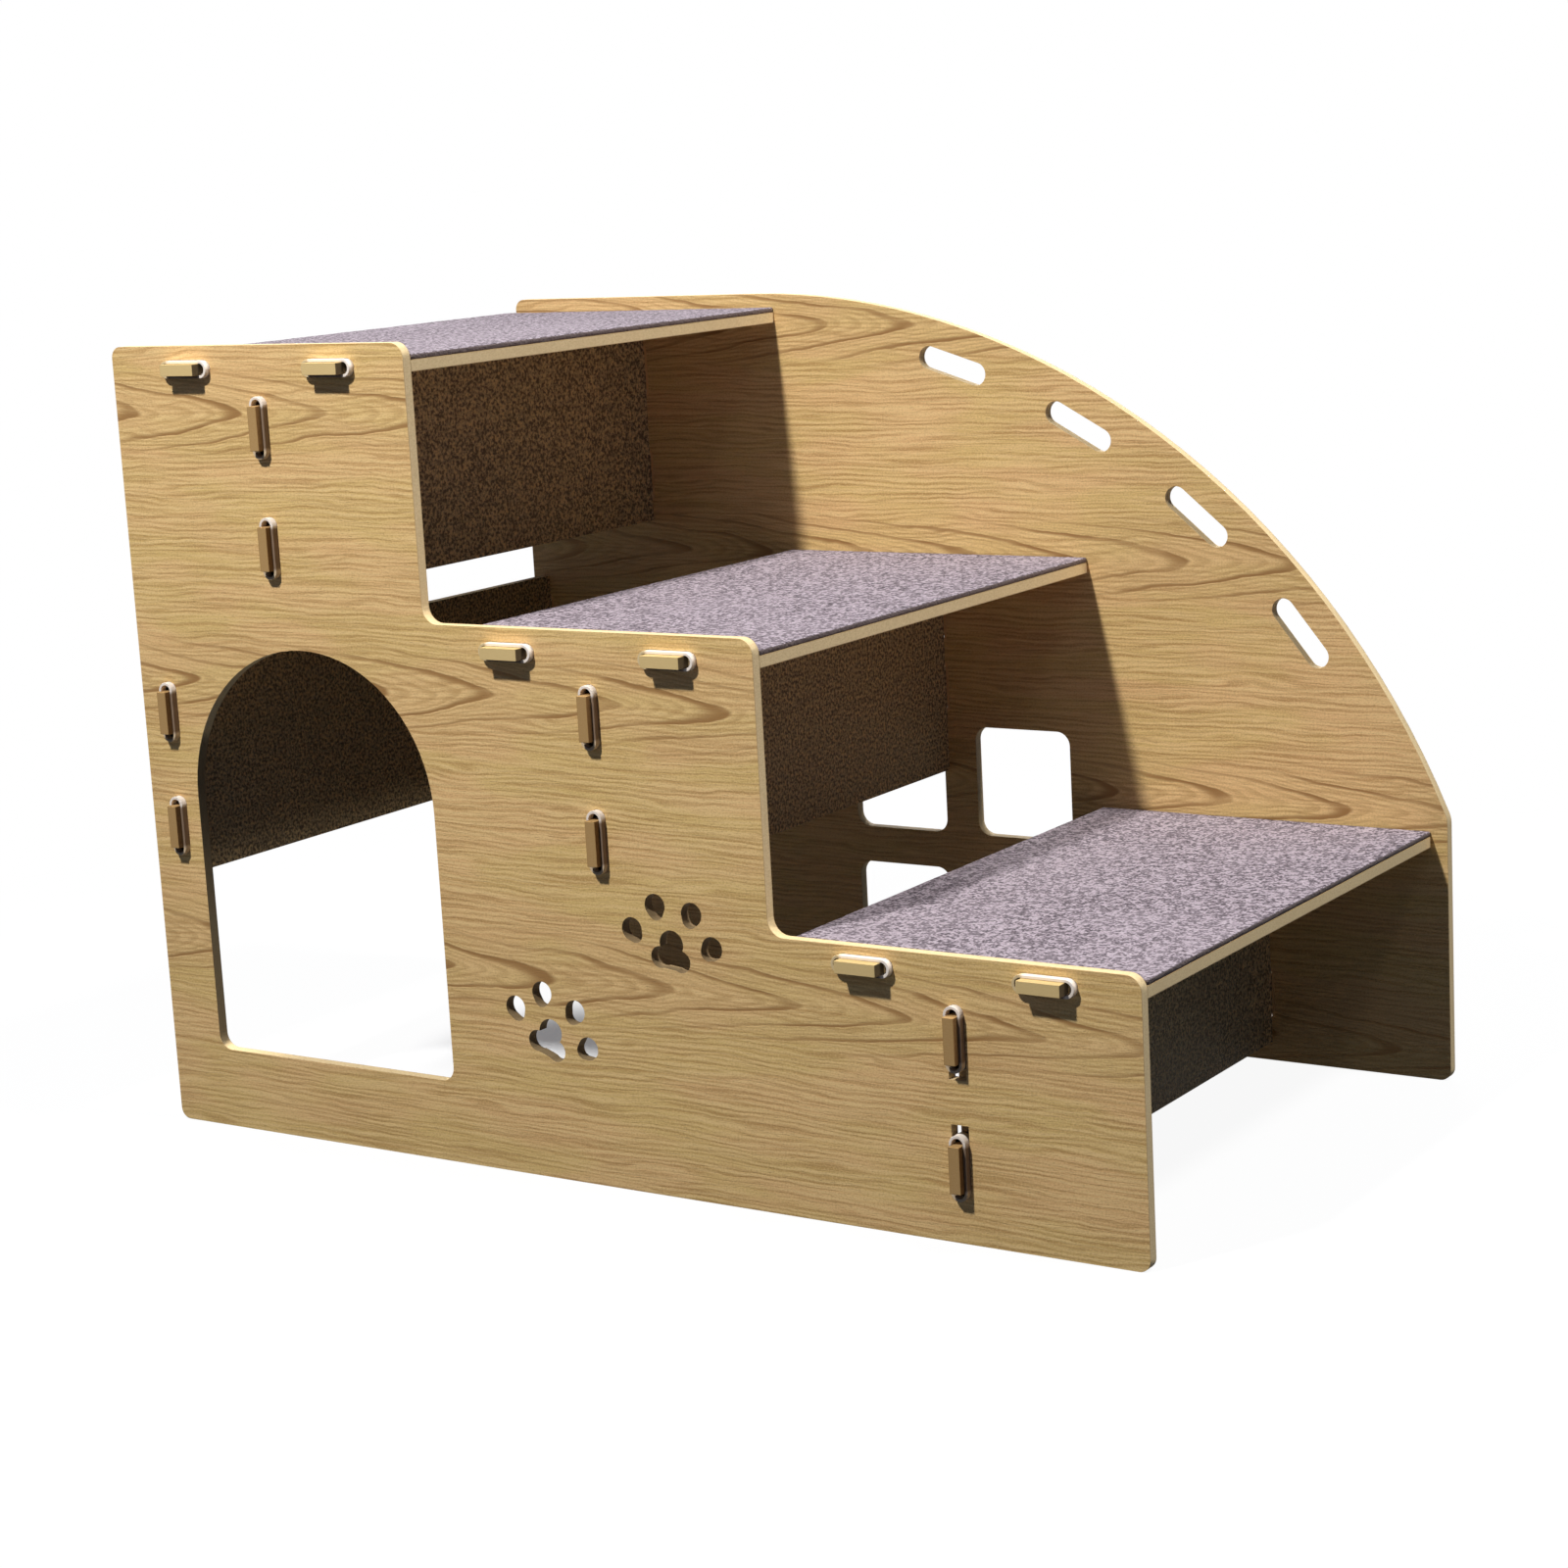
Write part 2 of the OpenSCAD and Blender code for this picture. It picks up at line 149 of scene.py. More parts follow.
class Shader:
    """A material or world under construction: each method adds a node and returns its output."""

    def __init__(self, owner):
        self.owner = owner
        owner.use_nodes = True
        self.nodes, self.links = owner.node_tree.nodes, owner.node_tree.links
        self.nodes.clear()

    def feed(self, socket, value):
        """Links an output to a socket, or sets the socket to a constant."""
        if isinstance(value, bpy.types.NodeSocket):
            self.links.new(value, socket)
        elif isinstance(value, tuple):
            socket.default_value = linear(value)
        else:
            socket.default_value = value

    def calc(self, operation, *values):
        node = self.nodes.new("ShaderNodeMath")
        node.operation = operation
        for socket, value in zip(node.inputs, values):
            self.feed(socket, value)
        return node.outputs[0]

    def remap(self, value, low, high, to_low=0.0, to_high=1.0):
        """A smooth step from one range to another."""
        node = self.nodes.new("ShaderNodeMapRange")
        node.interpolation_type = "SMOOTHSTEP"
        for socket, given in zip(node.inputs, (value, low, high, to_low, to_high)):
            self.feed(socket, given)
        return node.outputs[0]

    def blend(self, share, first, second):
        node = self.nodes.new("ShaderNodeMix")
        node.data_type = "RGBA"
        self.feed(node.inputs[0], share)
        self.feed(node.inputs[6], first)
        self.feed(node.inputs[7], second)
        return node.outputs[2]

    def seen(self):
        """1 for a ray of the camera, a gloss or glass, and 0 for light that spreads."""
        rays = self.nodes.new("ShaderNodeLightPath").outputs
        shown = self.calc("MAXIMUM", rays["Is Camera Ray"], rays["Is Glossy Ray"])
        return self.calc("MAXIMUM", shown, rays["Is Transmission Ray"])

    def place(self):
        """The point on the surface, as three outputs in millimetres."""
        node = self.nodes.new("ShaderNodeTexCoord")
        scale = self.nodes.new("ShaderNodeVectorMath")
        scale.operation = "SCALE"
        scale.inputs["Scale"].default_value = 1 / MM
        self.links.new(node.outputs["Object"], scale.inputs[0])
        split = self.nodes.new("ShaderNodeSeparateXYZ")
        self.links.new(scale.outputs[0], split.inputs[0])
        return list(split.outputs)

    def toward(self, axis):
        """How squarely the surface faces up an axis, from -1 to 1."""
        node = self.nodes.new("ShaderNodeTexCoord")
        split = self.nodes.new("ShaderNodeSeparateXYZ")
        self.links.new(node.outputs["Normal"], split.inputs[0])
        return split.outputs[axis]

    def facing(self, axis):
        """How squarely the surface faces along an axis, either way, from 0 to 1."""
        return self.calc("ABSOLUTE", self.toward(axis))

    def noise(self, point, sizes_mm, detail=2.0, roughness=0.5, shift=0.0):
        """Noise whose grains have one size, or a size of their own along each coordinate."""
        if not isinstance(sizes_mm, tuple):
            sizes_mm = [sizes_mm] * len(point)
        joined = self.nodes.new("ShaderNodeCombineXYZ")
        for socket, value, size in zip(joined.inputs, point, sizes_mm):
            self.feed(socket, self.calc("MULTIPLY_ADD", value, 1 / size, shift))
        node = self.nodes.new("ShaderNodeTexNoise")
        node.noise_dimensions = "2D" if len(point) == 2 else "3D"
        node.inputs["Scale"].default_value = 1
        node.inputs["Detail"].default_value = detail
        node.inputs["Roughness"].default_value = roughness
        self.links.new(joined.outputs[0], node.inputs["Vector"])
        return node.outputs[0]

    def wander(self, value, point, sizes_mm, reach, shift=0.0):
        """A value that noise pushes up to `reach` either way."""
        push = self.noise(point, sizes_mm, detail=1, shift=shift)
        return self.calc("ADD", value, self.calc("MULTIPLY_ADD", push, 2 * reach, -reach))

    def finish(self, colour, roughness, specular, height, depth_mm, strength=1.0, sheen=0.0):
        """Closes the material with one plain surface shader and returns it."""
        surface = self.nodes.new("ShaderNodeBsdfPrincipled")
        self.feed(surface.inputs["Base Color"], colour)
        self.feed(surface.inputs["Roughness"], roughness)
        surface.inputs["Specular IOR Level"].default_value = specular
        surface.inputs["Sheen Weight"].default_value = sheen
        bump = self.nodes.new("ShaderNodeBump")
        bump.inputs["Distance"].default_value = depth_mm * MM
        bump.inputs["Strength"].default_value = strength
        self.feed(bump.inputs["Height"], height)
        self.links.new(bump.outputs[0], surface.inputs["Normal"])
        output = self.nodes.new("ShaderNodeOutputMaterial")
        self.links.new(surface.outputs[0], output.inputs["Surface"])
        return self.owner


def material(name):
    """The shader of a new material."""
    return Shader(bpy.data.materials.new(name))


def oak_print(m, along, across, start_mm, gap_mm):
    """The printed oak: fine wavy grain, and a row of nested arches in the middle of each band.

    start_mm is where the tip of one arch lies along the board and the middle of one band across it,
    and gap_mm the height of a band."""
    tip_mm, band_mm = start_mm
    point = (along, across)
    bent = across
    for sizes_mm, reach_mm, shift in BENDS_MM:
        bent = m.wander(bent, point, sizes_mm, reach_mm, shift)
    grain = (along, bent)

    # Straight grain: soft lines, short streaks, specks, ripples and pores
    line = m.noise(grain, LINE_MM, detail=1, roughness=0.4, shift=1.7)
    streak = m.noise(grain, STREAK_MM, detail=2, roughness=0.6, shift=8.8)
    speck = m.noise(point, SPECK_MM, detail=1, roughness=0.6, shift=3.9)
    ripple = m.wander(m.calc("DIVIDE", bent, RIPPLE_MM), point, RIPPLE_BEND_MM, 1.1, shift=14.2)
    ripple = m.calc("SINE", m.calc("MULTIPLY", ripple, 2 * math.pi))
    patchy = m.remap(m.noise(point, RIPPLE_PATCH_MM, shift=21.3), 0.36, 0.6, 0.25, 1)
    ripple = m.calc("MULTIPLY", ripple, patchy)
    pore = m.remap(m.noise(grain, PORE_MM, detail=1, shift=2.6), 0.6, 0.76)

    # The arches: each outline is a line where the phase is whole
    off_band = m.calc("SUBTRACT", bent, band_mm)
    band = m.calc("ROUND", m.calc("DIVIDE", off_band, gap_mm))
    local = m.calc("SUBTRACT", off_band, m.calc("MULTIPLY", band, gap_mm))
    squared = m.calc("MULTIPLY", local, local)
    spread = m.calc("SQRT", m.calc("ADD", squared, TIP_ROUND_MM ** 2))
    behind = m.calc("MULTIPLY_ADD", spread, TIP_SLOPE, m.calc("DIVIDE", squared, LEG_CURVE_MM))
    phase = m.calc("ADD", m.calc("SUBTRACT", along, tip_mm), behind)
    phase = m.calc("DIVIDE", phase, TIP_SPACING_MM)
    phase = m.calc("MULTIPLY_ADD", band, BAND_SHIFT_SHARE, phase)
    phase = m.wander(phase, point, ARCH_BEND_MM, 0.3, shift=11.7)
    turn = m.calc("FRACT", phase)
    outline = m.calc("MULTIPLY", m.remap(turn, 0.66, 0.9), m.remap(turn, 0.99, 0.93))
    inner_phase = m.calc("MULTIPLY_ADD", phase, INNER_LINES, INNER_START_SHARE)
    inner_turn = m.calc("FRACT", inner_phase)
    inner = m.calc("MULTIPLY", m.remap(inner_turn, 0.3, 0.75), m.remap(inner_turn, 1, 0.85))
    figure = m.remap(m.calc("ABSOLUTE", local), FIGURE_FULL_MM, FIGURE_HALF_MM, 1, 0)
    patchy = m.remap(m.noise(point, ARCH_PATCH_MM, shift=5.9), 0.36, 0.56, 0.55, 1)
    shown = m.calc("MULTIPLY", figure, patchy)
    outline = m.calc("MULTIPLY", outline, shown)
    inner = m.calc("MULTIPLY", inner, m.calc("MULTIPLY", shown, 0.4))

    plain = m.calc("MULTIPLY_ADD", figure, -0.6, 1.0)
    tone = m.remap(m.noise(point, TONE_MM, detail=2, shift=4.4), 0.4, 0.6)
    colour = m.blend(tone, OAK_WARM, OAK_OLIVE)
    light = m.calc("MULTIPLY", m.remap(line, 0.5, 0.34, 0, 0.6), plain)
    dark = m.calc("MULTIPLY", m.remap(line, 0.5, 0.68, 0, 0.6), plain)
    colour = m.blend(light, colour, OAK_LIGHT)
    colour = m.blend(m.remap(figure, 0.5, 1, 0, 0.35), colour, OAK_LIGHT)
    colour = m.blend(dark, colour, OAK_DARK)
    colour = m.blend(m.remap(ripple, 0, 0.9, 0, 0.55), colour, OAK_LIGHT)
    colour = m.blend(m.remap(ripple, 0, -0.9, 0, 0.5), colour, OAK_DARK)
    colour = m.blend(m.remap(streak, 0.5, 0.72, 0, 0.25), colour, OAK_DARK)
    colour = m.blend(m.remap(streak, 0.48, 0.3, 0, 0.25), colour, OAK_LIGHT)
    colour = m.blend(m.remap(speck, 0.5, 0.72, 0, 0.3), colour, OAK_DARK)
    colour = m.blend(m.remap(speck, 0.5, 0.28, 0, 0.35), colour, OAK_LIGHT)
    colour = m.blend(inner, colour, OAK_DARK)
    colour = m.blend(outline, colour, OAK_LINE)
    colour = m.blend(m.calc("MULTIPLY", pore, 0.2), colour, OAK_PORE)
    height = m.calc("SUBTRACT", m.calc("SUBTRACT", 1.0, dark), m.calc("ADD", pore, outline))
    return colour, height


def distance(m, point, middle_mm):
    """How far a point lies from a middle, both given by two coordinates."""
    off = [m.calc("SUBTRACT", value, middle) for value, middle in zip(point, middle_mm)]
    squares = [m.calc("MULTIPLY", value, value) for value in off]
    return m.calc("SQRT", m.calc("ADD", *squares))


# The fibreboard's grain along each axis and its clouds, and how deep under a face the darker line of
# the print's skin begins and is full
FIBRE_MM, CLOUD_MM = (1.4, 1.4, 0.7), 22
SKIN_DEPTHS_MM = (0.55, 0.25)


def cut_edge(m, point, off_middle_mm, half_mm):
    """The bare fibreboard of a cut edge, with a darker line of the print's skin at each face."""
    fibre = m.noise(point, FIBRE_MM, detail=3, roughness=0.65, shift=3.3)
    cloud = m.noise(point, CLOUD_MM, detail=2, shift=9.1)
    colour = m.blend(m.remap(fibre, 0.35, 0.68), CUT_PALE, CUT_TAN)
    colour = m.blend(m.remap(cloud, 0.4, 0.7, 0, 0.35), colour, CUT_TAN)
    skin = m.remap(off_middle_mm, *[half_mm - depth for depth in SKIN_DEPTHS_MM], 0, 0.6)
    return m.blend(skin, colour, CUT_SKIN), fibre


# The speckle of the boards inside the stairs, the patches in which edges are rubbed, how far out of
# the panel a tab's own look starts, and the relief of the grain
CALM_SPECK_MM, RUBBED_MM = 1.7, 7
TAB_START_MM = 0.2
GRAIN_DEPTH_MM = 0.12


def shade_with_speckle(m, point, colour, share):
    """Paints shade over the print, as on the boards inside the stairs: a darker, bluer plain colour
    and a fine speckle.
    """
    speck = m.noise(point, CALM_SPECK_MM, detail=1, roughness=0.6, shift=6.6)
    colour = m.blend(share, colour, OAK_PAINTED_SHADE)
    colour = m.blend(m.remap(speck, 0.48, 0.62, 0, share), colour, SPECK_DARK)
    return m.blend(m.remap(speck, 0.46, 0.34, 0, 0.9 * share), colour, OAK_LIGHT)


def tab_look(m, point, colour, tread):
    """The tabs are pale at the treads' tips and tan at the uprights', with painted shade on their
    narrow sides next to their sleeves.
    """
    pale, dark = (TAB_PALE, TAB_SHADE) if tread else (TAB_TAN, UPRIGHT_TAB_SHADE)
    out = m.calc("GREATER_THAN", m.calc("ABSOLUTE", point[Y]), PANEL_FACE_MM + TAB_START_MM)
    # Painted shade on the narrow sides of each tab, where they stand out of the panel
    side = m.calc("MULTIPLY", out, m.remap(m.facing(X), 0.5, 0.9))
    colour = m.blend(m.calc("MULTIPLY", out, 0.85), colour, pale)
    return m.blend(m.calc("MULTIPLY", side, 0.9 if tread else 0.75), colour, dark)


def hole_shade(m, point, colour, face):
    """Painted shade on the door's rear jamb and on the walls of the paw prints, which lie in the
    dark of the den.
    """
    jamb = m.calc("MULTIPLY", m.remap(m.toward(X), 0.5, 0.9), m.remap(point[X], *JAMB_FADE_MM))
    colour = m.blend(m.calc("MULTIPLY", jamb, 0.85), colour, JAMB_SHADE)
    edge = m.calc("SUBTRACT", 1, face)
    for middle in PAW_PLACES_MM:
        near = m.calc("LESS_THAN", distance(m, (point[X], point[Z]), middle), PAW_REACH_MM)
        wall = m.calc("MULTIPLY", near, edge)
        colour = m.blend(m.calc("MULTIPLY", wall, 0.8), colour, PAW_WALL_SHADE)
    return colour


def oak_board(name, along, across, start_mm, gap_mm=BAND_MM, painted_shade=0.0):
    """The material of one board: the print on its two faces and bare fibreboard at its edges."""
    low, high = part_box(name)
    sizes = high - low
    thin = min((X, Y, Z), key=lambda axis: sizes[axis])
    middle_mm = (low[thin] + high[thin]) / 2 / MM
    half_mm = sizes[thin] / 2 / MM

    m = material(f"oak_{name}")
    point = m.place()
    colour, height = oak_print(m, point[along], point[across], start_mm, gap_mm)
    # The boards inside the stairs get painted shade over their print, and fewer pale edges and less
    # gloss
    if painted_shade:
        colour = shade_with_speckle(m, point, colour, painted_shade)
    off_middle = m.calc("ABSOLUTE", m.calc("SUBTRACT", point[thin], middle_mm))
    bare, fibre = cut_edge(m, point, off_middle, half_mm)
    facing = m.facing(thin)
    face = m.remap(facing, 0.72, 0.9)
    # Pale bevels along the edges: partly rubbed wear, partly a painted highlight
    worn = m.calc("MULTIPLY", m.remap(facing, 0.2, 0.6), m.remap(facing, 0.8, 0.99, 1, 0))
    rubbed = m.remap(m.noise(point, RUBBED_MM, detail=3, shift=6.2), 0.35, 0.62, 0.15, 0.7)
    colour = m.blend(face, bare, colour)
    colour = m.blend(m.calc("MULTIPLY", m.calc("MULTIPLY", worn, rubbed), 1 - painted_shade), colour, EDGE_WEAR_AND_HIGHLIGHT)
    if name == "door_side_panel":
        colour = hole_shade(m, point, colour, m.remap(facing, 0.9, 0.995))
    if name not in PANELS:
        colour = tab_look(m, point, colour, name in TREADS)
    roughness = m.calc("MULTIPLY_ADD", face, -0.22, 0.78)
    height = m.calc("ADD", m.calc("MULTIPLY", height, face), m.calc("MULTIPLY", fibre, 0.8))
    specular = 0.25 * (1 - painted_shade)
    return m.finish(colour, roughness, specular, height, GRAIN_DEPTH_MM, strength=0.6)


# The pile's specks, tufts and worn places, where it takes over from the backing above the tread, and
# its relief
PILE_SPECK_MM, PILE_TUFT_MM, PILE_WORN_MM = 1.4, 2.9, 70
BACKING_FADE_MM = (2.1, 2.8)
PILE_DEPTH_MM = 0.8


def carpet_pile(node):
    """Short speckled pile over a darker backing."""
    low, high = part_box(node)
    m = material(f"pile_{node}")
    point = m.place()
    speck = m.noise(point, PILE_SPECK_MM, detail=1, roughness=0.6, shift=2.2)
    tuft = m.noise(point, PILE_TUFT_MM, detail=1, roughness=0.5, shift=5.5)
    worn = m.noise(point, PILE_WORN_MM, detail=3, shift=8.3)
    colour = m.blend(m.remap(speck, 0.5, 0.62), PILE_MIDDLE, PILE_LIGHT)
    colour = m.blend(m.remap(speck, 0.5, 0.38), colour, PILE_DARK)
    colour = m.blend(m.remap(tuft, 0.5, 0.36, 0, 0.6), colour, PILE_DARK)
    colour = m.blend(m.remap(tuft, 0.5, 0.64, 0, 0.65), colour, PILE_LIGHT)
    colour = m.blend(m.remap(worn, 0.4, 0.68, 0, 0.12), colour, PILE_LIGHT)
    up = m.calc("SUBTRACT", point[Z], low.z / MM)
    colour = m.blend(m.remap(up, *BACKING_FADE_MM), BACKING, colour)
    height = m.calc("MULTIPLY_ADD", tuft, 0.8, speck)
    return m.finish(colour, 0.95, 0.1, height, PILE_DEPTH_MM, sheen=0.05)


# A sleeve's dull patches, its satin grain and that grain's relief
DULL_MM, SATIN_MM, SATIN_DEPTH_MM = 9, 0.5, 0.03
# Where a sleeve's rear or lower end takes its other colour, counted forwards or upwards from its
# middle: painted shade at the uprights' lower ends, the tabs' pale colour at the treads' rear ends.
# And where the colours of its straight sides, with painted shade on one side, begin and are full,
# beyond their ends
END_TONE_MM, STRAIGHT_FADE_MM = (-9, -12), (0.6, -1.8)
# Where one side's colour gives way to the other's across the middle
SIDE_FADE_MM = (-2, 2)
# Where the painted shade in the panel's slot and the pale inner end give way, outwards from the
# panel's inner face
SLOT_SHADE_END_MM, INNER_END_MM = (5.2, 6.2), (0.4, 1.2)


def sleeve_plastic(name):
    """Pale satin plastic, bright at one round end, with painted shade along the treads' lower sides,
    the uprights' front sides and the uprights' lower ends.

    Each node holds two sleeves, whose centres lie equally far from the node's middle."""
    low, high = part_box(name)
    tread = "tread" in name
    run, across = (X, Z) if tread else (Z, X)
    middle_mm = (low + high) / 2 / MM
    centre_mm = (high[run] - low[run]) / 2 / MM - SLEEVE_MM / 2
    straight_mm = (SLEEVE_MM - (high[across] - low[across]) / MM) / 2
    m = material(f"plastic_{name}")
    point = m.place()
    dull = m.noise(point, DULL_MM, detail=3, shift=4.1)
    satin = m.noise(point, SATIN_MM, detail=2, shift=1.1)
    colour = m.blend(m.remap(dull, 0.42, 0.7, 0, 0.6), SLEEVE_PALE, SLEEVE_DULL)

    # How far a point lies from the middle of its own sleeve, and the same upwards or forwards
    off_node = m.calc("SUBTRACT", point[run], middle_mm[run])
    outwards = m.calc("SUBTRACT", m.calc("ABSOLUTE", off_node), centre_mm)
    off = m.calc("ABSOLUTE", outwards)
    ahead = m.calc("MULTIPLY", m.calc("SIGN", off_node), outwards)
    # The rear or lower end: painted shade on the uprights' sleeves, the tabs' pale colour on the
    # treads'
    end_tone = m.remap(ahead, *END_TONE_MM, 0, 0.8)
    colour = m.blend(end_tone, colour, TAB_PALE if tread else SLEEVE_TAN)
    # The straight sides: painted shade below the treads' tabs and in front of the uprights' tabs,
    # tan behind the uprights' tabs, pale above the treads' tabs
    straight = m.remap(off, *[straight_mm + beyond for beyond in STRAIGHT_FADE_MM], 0, 0.9)
    side = m.remap(m.calc("SUBTRACT", point[across], middle_mm[across]), *SIDE_FADE_MM)
    first, second = (SLEEVE_UNDER_SHADE, SLEEVE_PALE) if tread else (SLEEVE_TAN, SLEEVE_FRONT_SHADE)
    colour = m.blend(straight, colour, m.blend(side, first, second))

    # What sits in the panel's slot gets painted shade, its inner end as pale as the boards
    in_panel = m.calc("SUBTRACT", m.calc("ABSOLUTE", point[Y]), PANEL_FACE_MM - BOARD_MM)
    colour = m.blend(m.remap(in_panel, *SLOT_SHADE_END_MM, 1, 0), colour, SLEEVE_SLOT_SHADE)
    colour = m.blend(m.remap(in_panel, *INNER_END_MM, 1, 0), colour, OAK_WARM)
    roughness = m.remap(dull, 0.3, 0.7, 0.5, 0.7)
    return m.finish(colour, roughness, 0.15, satin, SATIN_DEPTH_MM)


WELD_MM = 0.01
SHARP_DEGREES = 40


def soften(node, width_mm):
    """Rounds a board's sharp edges a little, as cutting and handling leave them."""
    weld = node.modifiers.new("weld", "WELD")
    weld.merge_threshold = WELD_MM * MM
    bevel = node.modifiers.new("edge", "BEVEL")
    bevel.width = width_mm * MM
    bevel.segments = 2
    bevel.limit_method = "ANGLE"
    bevel.angle_limit = math.radians(SHARP_DEGREES)
    bevel.harden_normals = True


def dress(name, look, width_mm):
    """Gives a carried-over board or sleeve its material and softened edges."""
    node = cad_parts[name]
    node.data.materials.clear()
    node.data.materials.append(look)
    soften(node, width_mm)


# The pile's edge from the backing up: how far in it lies, and how high
PILE_EDGE_MM = [(0.15, 0), (0.15, 0.9), (0, 1.1), (0, 1.8), (0.02, 2.35), (0.2, 2.7), (0.6, 2.88)]
PILE_CELL_MM = 1.5
# How far the pile's waves and tufts rise, and how long each is
WAVE_MM, WAVE_LENGTH_MM = 0.12, 9
TUFT_MM, TUFT_LENGTH_MM = 0.1, 1.7


def fuzz(x, y, z):
    """How far the pile stands up or out at a point, from its waves and its tufts."""
    wave = noise.noise(Vector((x, y, z)) / (WAVE_LENGTH_MM * MM))
    tuft = noise.noise(Vector((x, y, z)) / (TUFT_LENGTH_MM * MM))
    return (wave * WAVE_MM + tuft * TUFT_MM) * MM


def carpet(step):
    """One tread's carpet: a pile surface on a fine grid, rounded over at its edges."""
    node = f"{step}_carpet"
    low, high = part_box(node)
    middle = (low + high) / 2
    half = (high - low) / 2
    inner = PILE_EDGE_MM[-1][0] * MM
    columns = round(2 * (half.x - inner) / (PILE_CELL_MM * MM))
    rows = round(2 * (half.y - inner) / (PILE_CELL_MM * MM))
    points, faces = [], []
    top = low.z + PILE_EDGE_MM[-1][1] * MM
    for i in range(columns + 1):
        x = middle.x + (half.x - inner) * (2 * i / columns - 1)
        for j in range(rows + 1):
            y = middle.y + (half.y - inner) * (2 * j / rows - 1)
            points.append((x, y, top + fuzz(x, y, top)))

    def at(i, j):
        return i * (rows + 1) + j

    for i in range(columns):
        for j in range(rows):
            faces.append((at(i, j), at(i + 1, j), at(i + 1, j + 1), at(i, j + 1)))
    rim = [at(i, 0) for i in range(columns)] + [at(columns, j) for j in range(rows)]
    rim += [at(columns - i, rows) for i in range(columns)] + [at(0, rows - j) for j in range(rows)]
    inside = rim
    for inset_mm, up_mm in reversed(PILE_EDGE_MM[:-1]):
        outside = range(len(points), len(points) + len(rim))
        z = low.z + up_mm * MM
        for k in rim:
            x = middle.x + (points[k][X] - middle.x) * (half.x - inset_mm * MM) / (half.x - inner)
            y = middle.y + (points[k][Y] - middle.y) * (half.y - inset_mm * MM) / (half.y - inner)
            pull = 1 - abs(fuzz(x, y, z)) / half.x if up_mm > 1 else 1
            points.append((middle.x + (x - middle.x) * pull, middle.y + (y - middle.y) * pull, z))
        for k in range(len(rim)):
            n = (k + 1) % len(rim)
            faces.append((inside[n], inside[k], outside[k], outside[n]))
        inside = outside
    faces.append(tuple(reversed(inside)))

    mesh = bpy.data.meshes.new(f"{step}_pile")
    mesh.from_pydata(points, [], faces)
    mesh.shade_smooth()
    piece = bpy.data.objects.new(f"{step}_pile", mesh)
    bpy.context.scene.collection.objects.link(piece)
    mesh.materials.append(carpet_pile(node))
    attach(piece, "root")
    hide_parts(node)


# The floor's size, and how far out its shade begins to fade and is gone
FLOOR_RADIUS, FLOOR_CORNERS = 20, 96
FLOOR_FADE_MM = (350, 900)
# How much of the floor's look is plain white, in the open and in one soft spot under the stairs:
# its middle, and how far out the spot is at its darkest and where it ends
OPEN_GLOW, UNDER_GLOW = 0.93, 0.2
SPOT_MIDDLE_MM, SPOT_FADE_MM = (-195, 45), (25, 115)


def white_floor():
    """A pale floor that keeps a soft shadow and fades into a white background."""
    bpy.ops.mesh.primitive_circle_add(vertices=FLOOR_CORNERS, radius=FLOOR_RADIUS, fill_type="NGON")
    floor = bpy.context.object
    floor.name = "floor"
    m = material("floor")
    point = m.place()[X:Z]
    seen = m.seen()
    matte = m.nodes.new("ShaderNodeBsdfDiffuse")
    m.feed(matte.inputs["Color"], m.blend(seen, FLOOR_GREY, WHITE))
    glow = m.nodes.new("ShaderNodeEmission")
    m.feed(glow.inputs["Color"], WHITE)
    white = m.remap(distance(m, point, (0, 0)), *FLOOR_FADE_MM, OPEN_GLOW, 1)
    spot = m.remap(distance(m, point, SPOT_MIDDLE_MM), *SPOT_FADE_MM, UNDER_GLOW, 1)
    white = m.calc("MINIMUM", white, spot)
    surface = m.nodes.new("ShaderNodeMixShader")
    m.feed(surface.inputs[0], m.calc("MULTIPLY", seen, white))
    m.feed(surface.inputs[1], matte.outputs[0])
    m.feed(surface.inputs[2], glow.outputs[0])
    output = m.nodes.new("ShaderNodeOutputMaterial")
    m.feed(output.inputs["Surface"], surface.outputs[0])
    floor.data.materials.append(m.owner)


# How strongly the world lights the stairs, where 1 is as bright as its white background
AMBIENT = 0.075


def white_world():
    """White where it is seen, and a weak bluish light from all round."""
    world = bpy.data.worlds.new("studio")
    bpy.context.scene.world = world
    w = Shader(world)
    seen = w.seen()
    background = w.nodes.new("ShaderNodeBackground")
    w.feed(background.inputs["Color"], w.blend(seen, SHADE_BLUE, WHITE))
    strength = w.calc("MULTIPLY_ADD", seen, 1 - AMBIENT, AMBIENT)
    w.feed(background.inputs["Strength"], strength)
    output = w.nodes.new("ShaderNodeOutputWorld")
    w.feed(output.inputs["Surface"], background.outputs[0])


# The lamps: where each stands, how wide it is, and its power in watts
KEY = (Vector((-0.224, -1.20, 1.664)), 0.12, 37)
FILL = (Vector((1.60, 0.20, 3.25)), 0.5, 98)
BACK = (Vector((-0.80, 2.15, 0.80)), 0.8, 24)


def lamp(name, setting, aim):
    """A round lamp that shines towards one point."""
    place, size, watts = setting
    data = bpy.data.lights.new(name, "AREA")
    data.shape, data.size, data.energy = "DISK", size, watts
    stand = bpy.data.objects.new(name, data)
    bpy.context.scene.collection.objects.link(stand)
    stand.location = place
    stand.rotation_mode = "QUATERNION"
    stand.rotation_quaternion = (aim - place).to_track_quat("-Z", "Y")


# The camera: what it looks at, from how far, and its angles in degrees
AIM = Vector((-0.01119, 0.00919, 0.17273))
CAMERA_AWAY = 1.75126
AZIMUTH, ELEVATION, ROLL = 33.94, 11.15, -3.14
LENS_MM, SENSOR_MM = 74.376, 36
CLIP_START, CLIP_END = 0.05, 100


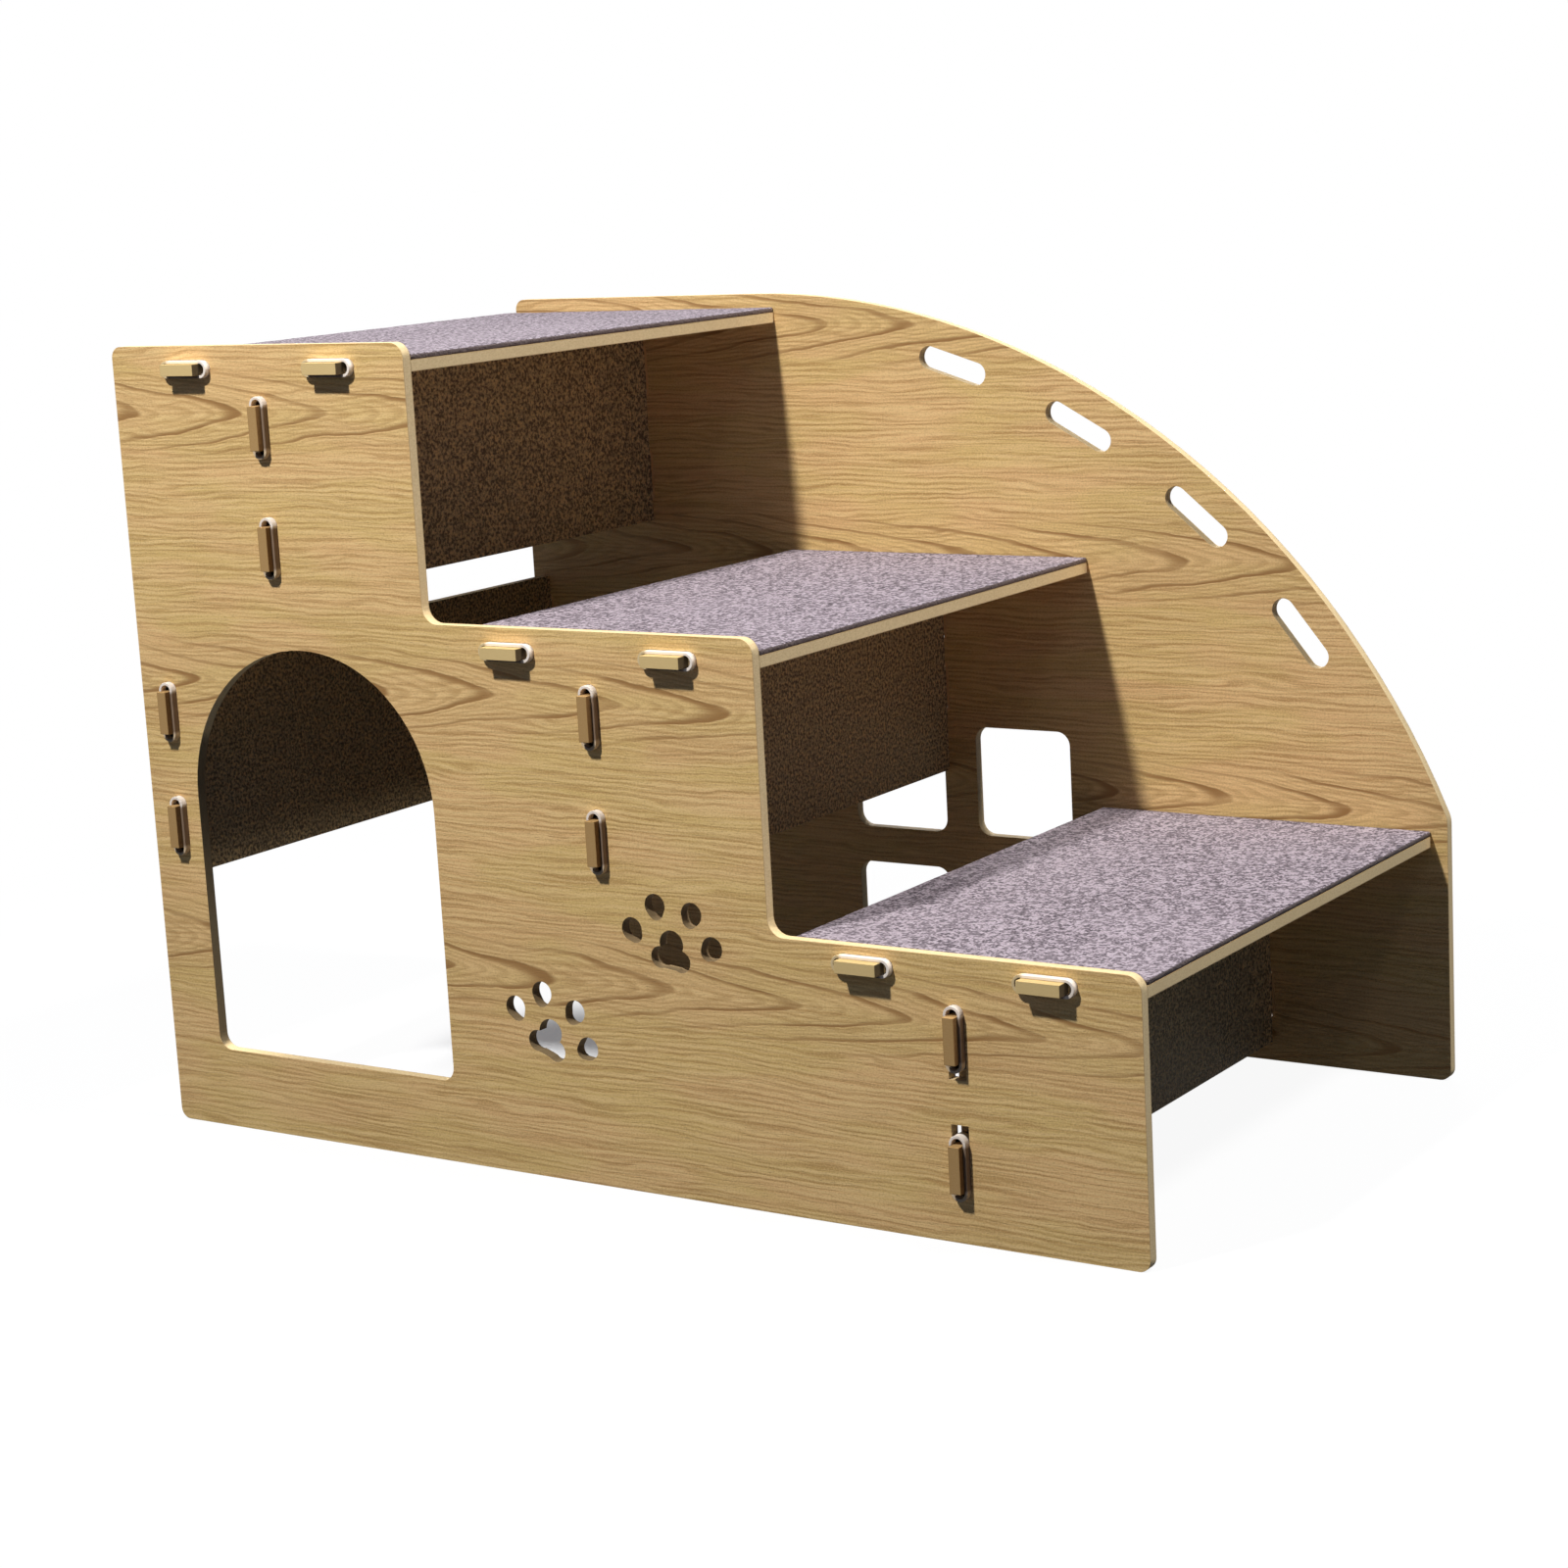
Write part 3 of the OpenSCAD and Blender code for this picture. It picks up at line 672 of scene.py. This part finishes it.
def camera():
    """The photo's camera. Its azimuth turns from the door side towards the low step."""
    azimuth, elevation, roll = (math.radians(angle) for angle in (AZIMUTH, ELEVATION, ROLL))
    outwards = Vector((math.sin(azimuth), -math.cos(azimuth), 0))
    back = outwards * math.cos(elevation) + Vector((0, 0, math.sin(elevation)))
    level = Vector((math.cos(azimuth), math.sin(azimuth), 0))
    upright = back.cross(level)
    right = level * math.cos(roll) + upright * math.sin(roll)
    up = back.cross(right)
    data = bpy.data.cameras.new("camera")
    data.lens, data.sensor_width = LENS_MM, SENSOR_MM
    data.clip_start, data.clip_end = CLIP_START, CLIP_END
    eye = bpy.data.objects.new("camera", data)
    bpy.context.scene.collection.objects.link(eye)
    turn = Matrix((right, up, back)).transposed().to_4x4()
    eye.matrix_world = Matrix.Translation(AIM + back * CAMERA_AWAY) @ turn
    bpy.context.scene.camera = eye


def moved(start_mm, step_mm, times):
    """A place moved on by so many steps."""
    return [start + times * step for start, step in zip(start_mm, step_mm)]


def boards():
    """Dresses the side panels, the treads, and the upright boards inside the stairs."""
    door, window = PANELS
    dress(door, oak_board(door, X, Z, DOOR_PANEL_PRINT_MM), EDGE_MM)
    dress(window, oak_board(window, X, Z, WINDOW_PANEL_PRINT_MM, WINDOW_PANEL_BAND_MM), EDGE_MM)
    for i, name in enumerate(TREADS):
        start_mm = moved(TREAD_PRINT_MM, TREAD_PRINT_STEP_MM, i)
        dress(name, oak_board(name, Y, X, start_mm), EDGE_MM)
    for i, name in enumerate(UPRIGHTS):
        start_mm = moved(UPRIGHT_PRINT_MM, UPRIGHT_PRINT_STEP_MM, i)
        dress(name, oak_board(name, Y, Z, start_mm, painted_shade=PAINTED_SHADE_SHARE), FINE_EDGE_MM)


def main():
    camera()
    centre = (Vector(CAD_BOX[0]) + Vector(CAD_BOX[1])) / 2
    for name, setting in {"key": KEY, "fill": FILL, "back": BACK}.items():
        lamp(name, setting, centre)
    white_floor()
    white_world()
    bpy.context.scene.view_settings.view_transform = "Standard"

    boards()
    for name in SLEEVES:
        dress(name, sleeve_plastic(name), FINE_EDGE_MM)
    for step in STEPS:
        carpet(step)


main()
